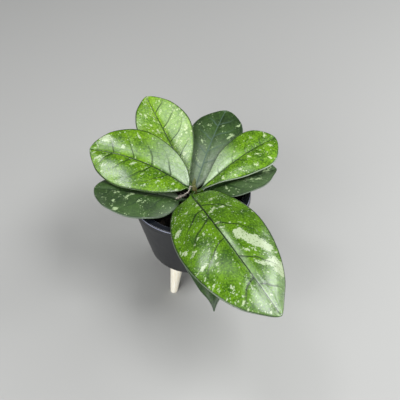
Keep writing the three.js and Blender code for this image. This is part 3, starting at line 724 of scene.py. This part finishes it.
def waxy_leaf(name, deep, bright, vein, splash, underside, roughness, wax, rim, painted_rib_sheen=None):
    """A leaf's finish. A coat of wax on the skin, IOR 1.48, gives deep green flesh a soft broad shine."""
    material, shader, add = new_finish(name, roughness, 1.48)
    shader.inputs["Coat Weight"].default_value = wax
    shader.inputs["Coat Roughness"].default_value = 0.75 * roughness
    read = []
    for attribute in ("blade", "veins", "marks", "ribs"):
        vector = add("Attribute", {"attribute_name": attribute}).outputs["Vector"]
        read += add("SeparateXYZ", links={0: vector}).outputs[:]
    along, across, edge, vein_number, vein_gap, on_upper_face = read[:6]
    depth_here, speck_cover, offset, painted_sheen, way_out, midrib_half_width = read[6:]
    from_midrib = add("Math ABSOLUTE", links={0: across})

    # Green flesh: broad bright and deep areas of about 15 mm, and a mottle of 1.3 mm
    flat = add("CombineXYZ", links={0: along, 1: across, 2: offset})
    areas = add("TexNoise", {"Scale": 0.065, "Detail": 3}, {"Vector": flat})
    mottle = add("TexNoise", {"Scale": 0.75, "Detail": 3}, {"Vector": flat})
    broad = add("MapRange", {1: 0.35, 2: 0.65, 3: 0.1, 4: 0.9}, {0: areas})
    fine = add("MapRange", {1: 0.3, 2: 0.7, 3: -0.5, 4: 0.5}, {0: mottle})
    brightness = add("Math ADD", links={0: broad, 1: fine})
    green = add("Mix", {6: linear(deep), 7: linear(bright)}, {0: brightness})

    # A pale sheen is painted over part of a blade, standing for the lamps' reflection; it varies with the
    # mottle
    sheen_mottle = add("MapRange", {1: 0.3, 2: 0.7, 3: 1.3, 4: 0.7}, {0: mottle})
    painted_sheen_share = add("Math MULTIPLY", links={0: painted_sheen, 1: sheen_mottle})
    green = add("Mix", {7: linear("#d2e4c6")}, {0: painted_sheen_share, 6: green})

    # The faint dark net of the finest veins, with meshes of about 4 mm
    warp = add("TexNoise", {"Scale": 0.5, "Detail": 3}, {"Vector": flat}).outputs["Color"]
    warped = add("VectorMath MULTIPLY_ADD", {1: (3, 3, 0)}, {0: warp, 2: flat})
    net = add("TexVoronoi", {"feature": "DISTANCE_TO_EDGE", "Scale": 0.25}, {"Vector": warped})
    net_line = add("MapRange", {1: 0.02, 2: 0.12, 3: 0.25, 4: 0}, {0: net})

    # Splashes and specks lie along the side veins: lines at 50 degrees from the midrib, on both halves
    turned = []
    for ahead, aside in ((0.64, 0.77), (-0.77, 0.64)):
        part = add("Math MULTIPLY", {1: aside}, {0: from_midrib})
        part = add("Math MULTIPLY_ADD", {1: ahead}, {0: along, 2: part})
        turned.append(part)
    lengthways = add("Math MULTIPLY", {1: 0.7}, {0: turned[0]})
    half = add("Math SIGN", links={0: across})
    depth = add("Math MULTIPLY_ADD", {1: 31}, {0: half, 2: offset})
    streaky = add("CombineXYZ", links={0: lengthways, 1: turned[1], 2: depth})
    crooked = add("VectorMath MULTIPLY_ADD", {1: (2.4, 2.4, 0)}, {0: warp, 2: streaky})
    ragged = add("TexNoise", {"Scale": 0.5, "Detail": 6, "Roughness": 0.7}, {"Vector": crooked})
    ragged = add("Math SUBTRACT", {1: 0.5}, {0: ragged})
    in_splash = add("Math MULTIPLY_ADD", {1: 9}, {0: ragged, 2: depth_here})
    pale = add("MapRange", {1: 0.1, 2: 0.4}, {0: in_splash})

    # Specks in cells of three sizes, in mm, each of a size by chance, and all of them in patches
    patches = add("TexNoise", {"Scale": 0.11, "Detail": 2}, {"Vector": flat})
    patches = add("MapRange", {1: 0.35, 2: 0.6, 3: 0.55}, {0: patches})
    cover = add("Math MULTIPLY", links={0: patches, 1: speck_cover})
    for cell, size, rarity in ((4.2, 0.3, 0.4), (2.4, 0.38, 0.35), (1.3, 0.5, 0.45)):
        cells = add("TexVoronoi", {"Scale": 1 / cell}, {"Vector": crooked})
        chance = add("SeparateColor", links={0: cells.outputs["Color"]}).outputs
        reach = add("MapRange", {1: rarity, 4: size}, {0: chance[0]})
        covered = add("Math MULTIPLY", links={0: reach, 1: cover})
        inside = add("Math SUBTRACT", links={0: covered, 1: cells})
        strength = add("MapRange", {3: 0.7}, {0: chance[1]})
        speck = add("MapRange", {1: -0.02, 2: 0.06}, {0: inside})
        speck = add("Math MULTIPLY", links={0: speck, 1: strength})
        pale = add("Math MAXIMUM", links={0: pale, 1: speck})

    # Small grains of green are left in the pale skin
    left_pale = add("MapRange", {1: 0.34, 2: 0.42, 3: 0.25}, {0: mottle})
    pale = add("Math MULTIPLY", links={0: pale, 1: left_pale})

    # Side veins about 1 mm wide that fade on their way out, and the midrib's line, wider at its base
    off_vein = add("Math PINGPONG", {1: 0.5}, {0: vein_number})
    from_vein = add("Math MULTIPLY", links={0: off_vein, 1: vein_gap})
    side_line = add("MapRange", {1: 0.25, 2: 0.85, 3: 0.8, 4: 0}, {0: from_vein})
    fading = add("MapRange", {1: 0.4, 2: 0.95, 3: 1, 4: 0}, {0: way_out})
    side_line = add("Math MULTIPLY", links={0: side_line, 1: fading})
    off_midrib = add("Math DIVIDE", links={0: from_midrib, 1: midrib_half_width})
    midrib_line = add("MapRange", {1: 0.45, 2: 1, 3: 0.95, 4: 0}, {0: off_midrib})
    vein_line = add("Math MAXIMUM", links={0: side_line, 1: midrib_line})

    # The petiole is plain like the veins' flesh, the underside pale and even. The margin is dark, and a
    # pale highlight is painted on its very rim.
    on_petiole = add("MapRange", {1: -1, 2: 5, 3: 0.8, 4: 0}, {0: along})
    upper = green
    # On the oldest leaf the vein lines are painted pale, as sheen in their grooves
    layers = ((net_line, vein), (pale, splash), (vein_line, painted_rib_sheen or vein), (on_petiole, vein))
    for share, layer_colour in layers:
        upper = add("Mix", {7: linear(layer_colour)}, {0: share, 6: upper})
    mottled = add("MapRange", {4: 0.5}, {0: mottle})
    lower = add("Mix", {6: linear(underside), 7: linear(bright)}, {0: mottled})
    colour = add("Mix", links={0: on_upper_face, 6: lower, 7: upper})
    margin_line = add("MapRange", {1: 0.4, 2: 1.3, 3: 0.85, 4: 0}, {0: edge})
    # A pale highlight painted along the margin's very rim
    painted_rim_highlight = add("MapRange", {1: 0.05, 2: 0.25, 3: rim, 4: 0}, {0: edge})
    for share, layer_colour in ((margin_line, vein), (painted_rim_highlight, "#b4c3ab")):
        colour = add("Mix", {7: linear(layer_colour)}, {0: share, 6: colour})

    # The wax is a little duller over the mottle, and the skin is pebbled at about 1 mm
    gloss = add("MapRange", {1: 0.3, 2: 0.7, 3: roughness - 0.05, 4: roughness + 0.07}, {0: mottle})
    pebbles = add("TexNoise", {"Scale": 1, "Detail": 2}, {"Vector": flat})
    relief = add("Bump", {"Strength": 0.35, "Distance": 0.0003}, {"Height": pebbles})
    join(shader, {"Base Color": colour, "Roughness": gloss, "Normal": relief})
    return material


# For each age: the slot, and then the colours of the flesh where deep and bright, of veins, splashes and
# underside, the roughness, the wax, the strength of the highlight painted on the margin's rim and, on the
# oldest leaf, the pale colour painted on the veins as the sheen in their grooves
AGES = {
    "grown": ("leaf_green", "#335a04", "#68960a", "#14280a", "#b6c69c", "#7f9468", 0.22, 0.5, 0.22),
    "half_grown": ("leaf_green", "#3f6806", "#79a610", "#18300a", "#bacca0", "#82985f", 0.22, 0.5, 0),
    "young": ("leaf_young_green", "#507e08", "#84b014", "#223c0e", "#c6d8a2", "#8aa465", 0.28, 0.3, 0),
    "turning": ("leaf_young_green", "#3c6404", "#7aab10", "#1e380c", "#c2d4a0", "#869f60", 0.3, 0.15, 0.6),
    "old": ("leaf_dark_green", "#1d370c", "#3b5b20", "#223a1c", "#a3b988", "#6f8567", 0.4, 0.2, 0.2),
}
# The oldest leaf has its veins painted pale as groove sheen, and a weaker painted rim highlight
AGES["oldest"] = (*AGES["old"][:-1], 0.1, "#4b6352")
finishes = {age: waxy_leaf(f"waxy_leaf_{age}", *looks) for age, (slot, *looks) in AGES.items()}


def bend_through(knots, share):
    """Points at shares of a curve that starts and ends at the outer knots and bends towards the others."""
    while len(knots) > 1:
        knots = [a + (b - a) * share for a, b in zip(knots[:-1], knots[1:])]
    return knots[0]


def all_round(shape, upper, on_petiole, on_margin=None, on_lower=None):
    """Values for a leaf's points: the petiole's rows, then the upper face, margins and lower face."""
    upper = np.broadcast_to(upper, shape)
    left, lower, right = upper[:, -1:], upper[:, ::-1], upper[:, :1]
    if on_margin is not None:
        left = right = np.full_like(left, on_margin, float)
        lower = np.full_like(lower, on_lower, float)
    blade = np.concatenate([upper, left, lower, right], 1)
    petiole = np.broadcast_to(np.reshape(on_petiole, (-1, 1)), (PETIOLE_ROWS, blade.shape[1]))
    return np.concatenate([petiole, blade]).ravel()


for number, (leaf_name, leaf) in enumerate(LEAVES.items()):
    spread = np.linspace(-1, 1, BLADE_COLUMNS)
    place = spread * (0.55 + 0.45 * np.abs(spread))
    t = (1 - np.cos(np.pi * np.arange(leaf["rows"] + 1) / leaf["rows"])) / 2
    middle, along_midrib, side, top = midrib(leaf, t)
    half_width = half_width_at(leaf, t)[:, None]

    # Where each point of the blade lies: mm along, across and from the margin. The round petiole flattens
    # into the blade, and a rounded base reaches back on both sides of it.
    out = np.abs(place)
    flat = smoothstep(t, 0, FLATTENING_SHARE)[:, None]
    back = leaf.get("lobes", 0) * (1 - smoothstep(t, FLATTENING_SHARE, LOBE_SHARE))[:, None] * out**2 * flat
    along = t[:, None] * leaf["length"] - back
    across = place * half_width
    edge = (1 - out) * half_width

    # The side veins' running number, gap and distance
    vein_number, vein_gap = np.zeros(along.shape), np.full(along.shape, OPEN_GAP, float)
    for veins, half in zip(leaf["veins"], (place >= 0, place < 0)):
        found = vein_count(leaf, veins, along[:, half].ravel(), np.abs(across[:, half]).ravel())
        vein_number[:, half], vein_gap[:, half] = (values.reshape(len(t), -1) for values in found)
    wander = np.sin(0.31 * along + 2 * number) * np.sin(0.27 * across + along / 7)
    vein_number += VEIN_WANDER / vein_gap * wander
    from_vein = np.abs(vein_number - np.round(vein_number)) * vein_gap

    # The section: halves that fold up and curl down, a wavy margin, sunken veins and a keel below
    section_x, section_z = turned_sum(math.radians(leaf["fold"]), -math.radians(leaf["curl"]), out)
    rounding = MARGIN_ROUNDING * smoothstep(half_width, 0, 2)
    inset = half_width - rounding
    x = np.sign(place) * section_x * inset
    wave = MARGIN_WAVE_HEIGHT * out**2 * np.sin(2 * np.pi * MARGIN_WAVES * t[:, None] + 1.5 * place)
    z = section_z * half_width + wave * np.minimum(1, half_width / 8)
    thickness = BLADE_THICKNESS + (MARGIN_THICKNESS - BLADE_THICKNESS) * out
    keel = KEEL_DEPTH * (1 - t[:, None]) ** 0.7 * np.exp(-((across / KEEL_HALF_WIDTH) ** 2))
    fade = smoothstep(edge, 0.5, 5)
    lower_z = z - thickness - keel
    groove = GROOVE_DEPTH * np.exp(-((across / GROOVE_HALF_WIDTH) ** 2)) * smoothstep(half_width, 2, 9)
    upper_z = z - groove - VEIN_SINK * np.exp(-((from_vein / VEIN_HALF_WIDTH) ** 2)) * fade

    # Round petiole sections with as many points, from 168 to 12 degrees above
    angle = np.radians(90 - 78 * place)
    round_section = np.cos(angle), np.sin(angle) - PETIOLE_DROP, -np.sin(angle) - PETIOLE_DROP
    x, upper_z, lower_z = (
        PETIOLE_RADIUS * start + (end - PETIOLE_RADIUS * start) * flat
        for start, end in zip(round_section, (x, upper_z, lower_z))
    )
    margin_z = (upper_z + lower_z) / 2
    margin_out = PETIOLE_RADIUS * (1 - flat) + (np.abs(x[:, -1:]) + rounding) * flat
    section = np.concatenate(
        [
            np.stack([x, upper_z, back], -1),
            np.stack([margin_out, margin_z[:, -1:], back[:, -1:]], -1),
            np.stack([x, lower_z, back], -1)[:, ::-1],
            np.stack([-margin_out, margin_z[:, :1], back[:, :1]], -1),
        ],
        1,
    )
    directions = np.stack([side, top, -along_midrib], 1)
    blade_rings = middle[:, None] + section @ directions

    # The petiole's line: out of the stem, level, and round into the midrib
    stem_axis = np.array([STEM_X, STEM_Y, RIM_HEIGHT + leaf["node"]])
    outwards = unit((middle[0] - stem_axis) * (1, 1, 0))
    foot = stem_axis + outwards * (stem_radius(leaf["node"]) - PETIOLE_SINK)
    reach = np.linalg.norm(middle[0] - foot)
    arm = PETIOLE_BEND * reach
    knots = np.array([foot, foot + arm * outwards, middle[0] - arm * along_midrib[0], middle[0]])
    share = np.linspace(0, 1, PETIOLE_ROWS, endpoint=False)[:, None]
    line, ahead = bend_through(knots, share), unit(bend_through(np.diff(knots, axis=0), share))
    petiole_side, petiole_top = section_directions(ahead, math.radians(leaf["roll"]) * share[:, 0])
    sideways, upwards = section[0, :, :1], section[0, :, 1:2]
    petiole_rings = line[:, None] + sideways * petiole_side[:, None] + upwards * petiole_top[:, None]

    leaf_skin = skin(np.concatenate([petiole_rings, blade_rings]))
    tone = leaf["tone"]
    piece = add_piece(f"waxy_{leaf_name}", *leaf_skin, finishes[tone], AGES[tone][0], sharp=80)

    # What the finish reads
    # The pale sheen painted on zones of each blade, in place of the lamps' reflection
    painted_sheen = np.zeros(along.shape)
    for half, near, far, along_from, along_to, strength in leaf.get("painted_sheen", ()):
        zone = smoothstep(half * place, near, near + PAINTED_SHEEN_EDGES[0])
        zone = zone * (1 - smoothstep(half * place, far - PAINTED_SHEEN_EDGES[1], far)) if half else 1
        painted_sheen += strength * smoothstep(t, along_from, along_to)[:, None] * zone
    faint = np.where(place >= 0, *leaf.get("faint", (0, 0)))
    midrib_half_width = np.interp(t, (0, 1), MIDRIB_HALF_WIDTHS)[:, None]
    splashes = [*leaf["splashes"], *scattered_splashes(leaf, 20 + number)]
    offset = PATTERN_OFFSET * number
    depth = splash_depth(leaf, splashes, along, across)
    read_values = {
        "blade": ((along, -reach * (1 - share[:, 0])), (across, 5), (edge, 10)),
        "veins": ((vein_number, 0.5), (vein_gap, OPEN_GAP), (1.0, 1, 0.5, 0)),
        "ribs": ((painted_sheen, 0), (out + faint, 0), (midrib_half_width, 1)),
        "marks": ((depth, FAR_OUTSIDE), (leaf["specks"], 0), (offset, offset)),
    }
    for name, vector in read_values.items():
        set_vectors(piece, name, *(all_round(along.shape, *values) for values in vector))
    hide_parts(leaf_name)

# Root in the air
# A thin dry root that left the stem above the mix, arches over and comes down on the lower left leaf.
# It is pale brown and papery, kinked where it grew in turns, and covered with short fine hairs at its end.

ROOT_PATH = (
    (1.6, -0.5, 5.4), (0.45, -0.6, 5.9), (-0.5, -1.7, 7.1), (-1, -3.3, 5.6), (-2.4, -4.4, 3.9),
    (-4.8, -4.6, 2.1), (-8.4, -5.4, 0.6), (-11.4, -6.2, -0.3),
)
ROOT_RADIUS_AT_STEM = 0.42
ROOT_RADIUS_AT_TIP = 0.32
ROOT_ROWS = 90
ROOT_SIDES = 12
FIRST_HAIRY_ROW = 50
HAIR_COUNT = 220
HAIR_LENGTHS = (0.7, 2)
HAIR_RADIUS = 0.05
HAIR_ROWS = 6
HAIR_SIDES = 4

papery_root = add_crumbly_finish("papery_root", "#8e8475", "#d6cec2", 0.7)


def smooth_line(knots, count):
    """Points along a smooth line through the knots."""
    knots = np.array([2 * knots[0] - knots[1], *knots, 2 * knots[-1] - knots[-2]])
    places = np.linspace(0, len(knots) - 3, count)
    first = np.minimum(places.astype(int), len(knots) - 4)
    u = (places - first)[:, None]
    a, b, c, d = (knots[first + i] for i in range(4))
    return 0.5 * (2 * b + (c - a) * u + (2 * a - 5 * b + 4 * c - d) * u**2 + (3 * b - a - 3 * c + d) * u**3)


def thread(line, radii, sides):
    """Rings of a round thread along a line."""
    side, top = section_directions(unit(np.gradient(line, axis=0)), np.zeros(len(line)))
    around = circle(sides)
    ring = np.cos(around)[None, :, None] * side[:, None] + np.sin(around)[None, :, None] * top[:, None]
    return line[:, None] + np.asarray(radii)[:, None, None] * ring


root_line = smooth_line(np.array(ROOT_PATH) + (0, 0, RIM_HEIGHT), ROOT_ROWS)
kinks = 0.12 * np.sin(np.linspace(0, 40, ROOT_ROWS))[:, None] * (0.3, 0.6, 0.5)
knobs = 1 + 0.1 * np.sin(np.linspace(0, 55, ROOT_ROWS))
root_radii = np.linspace(ROOT_RADIUS_AT_STEM, ROOT_RADIUS_AT_TIP, ROOT_ROWS) * knobs
root_skin = skin(thread(root_line + kinks, root_radii, ROOT_SIDES))
root = add_piece("root_in_air", *root_skin, papery_root, "root", sharp=80)
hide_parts("aerial_root")

hairs = []
for _ in range(HAIR_COUNT):
    row = FIRST_HAIRY_ROW + (ROOT_ROWS - 1 - FIRST_HAIRY_ROW) * math.sqrt(draw.uniform(0, 1))
    start = root_line[int(row)]
    lean = unit(draw.normal(0, 1, 3) * (1, 1, 0.5))
    length = draw.uniform(*HAIR_LENGTHS)
    bend = draw.normal(0, 0.3, 3)
    share = np.linspace(0, 1, HAIR_ROWS)[:, None]
    hair_line = start + length * (share * lean + share**2 * bend)
    hair_radii = np.linspace(HAIR_RADIUS, HAIR_RADIUS / 2, HAIR_ROWS)
    hairs.append(skin(thread(hair_line, hair_radii, HAIR_SIDES)))
add_piece("root_hairs", *merged(hairs), papery_root, "root", sharp=80)

# Where it stands
# A plain pale floor in a studio with soft lamps. Those overhead and to the left are what the waxy leaves
# mirror as a pale sheen. The camera looks down from the front, as the plant was photographed.

CAMERA_ELEVATION = 43.5
CAMERA_ROLL = 3.2
CAMERA_DISTANCE = 500
CAMERA_LENS = 59.67
AIM_RIGHT = 6.7
AIM_DOWN = 6.2
FLOOR_REACH = 3000
DAYLIGHT_STRENGTH = 0.16

# Each softbox's place and size in metres, power in watts and turn in degrees
SOFTBOXES = {
    "softbox_near": ((0.62, -0.24, 0.98), (0.56, 0.6), 9, (0, 0, 0)),
    "softbox_near_right": ((1.22, 0.2, 0.98), (0.8, 0.36), 6, (0, 0, 0)),
    "softbox_right": ((1.42, 0.75, 0.98), (0.5, 0.7), 8, (0, 0, 0)),
    "softbox_middle": ((-0.35, 0.31, 0.98), (0.3, 0.24), 1.8, (0, 0, 0)),
    "softbox_band": ((0, 0.16, 0.98), (0.36, 0.18), 0.4, (0, 0, 0)),
    "softbox_left": ((-0.75, -0.95, 0.9), (1.0, 1.0), 9, (53, 0, -38)),
    "softbox_low": ((-0.3, -1.2, 0.4), (0.9, 0.5), 8, (75, 0, -14)),
}

pale_paint, shader, _ = new_finish("pale_paint", 0.8)
shader.inputs["Base Color"].default_value = linear("#b9b8b5")
floor_mesh = bpy.data.meshes.new("floor")
reach = FLOOR_REACH / 1000
corners = [(-reach, -reach, 0), (reach, -reach, 0), (reach, reach, 0), (-reach, reach, 0)]
floor_mesh.from_pydata(corners, [], [(0, 1, 2, 3)])
floor_mesh.materials.append(pale_paint)
floor = add_object("floor", floor_mesh)

tilt = Matrix.Rotation(math.radians(90 - CAMERA_ELEVATION), 3, "X")
turn = tilt @ Matrix.Rotation(math.radians(-CAMERA_ROLL), 3, "Z")
rim_middle = Vector((PLANTER_X, PLANTER_Y, RIM_HEIGHT))
eye = (rim_middle + turn @ Vector((AIM_RIGHT, -AIM_DOWN, CAMERA_DISTANCE))) / 1000
camera_data = bpy.data.cameras.new("camera")
camera_data.sensor_width = 36
camera_data.lens = CAMERA_LENS
camera = add_object("camera", camera_data)
camera.matrix_world = Matrix.Translation(eye) @ turn.to_4x4()
bpy.context.scene.camera = camera

for name, (place, size, power, turn) in SOFTBOXES.items():
    lamp = bpy.data.lights.new(name, "AREA")
    lamp.shape = "RECTANGLE"
    lamp.size, lamp.size_y = size
    lamp.energy = power
    lamp.color = linear("#fbfdff")[:3]
    softbox = add_object(name, lamp)
    softbox.location = place
    softbox.rotation_euler = [math.radians(angle) for angle in turn]

world = bpy.data.worlds.new("daylight")
world.use_nodes = True
background = world.node_tree.nodes["Background"].inputs
background["Color"].default_value = linear("#f2f5f8")
background["Strength"].default_value = DAYLIGHT_STRENGTH
bpy.context.scene.world = world
bpy.context.scene.view_settings.view_transform = "Standard"
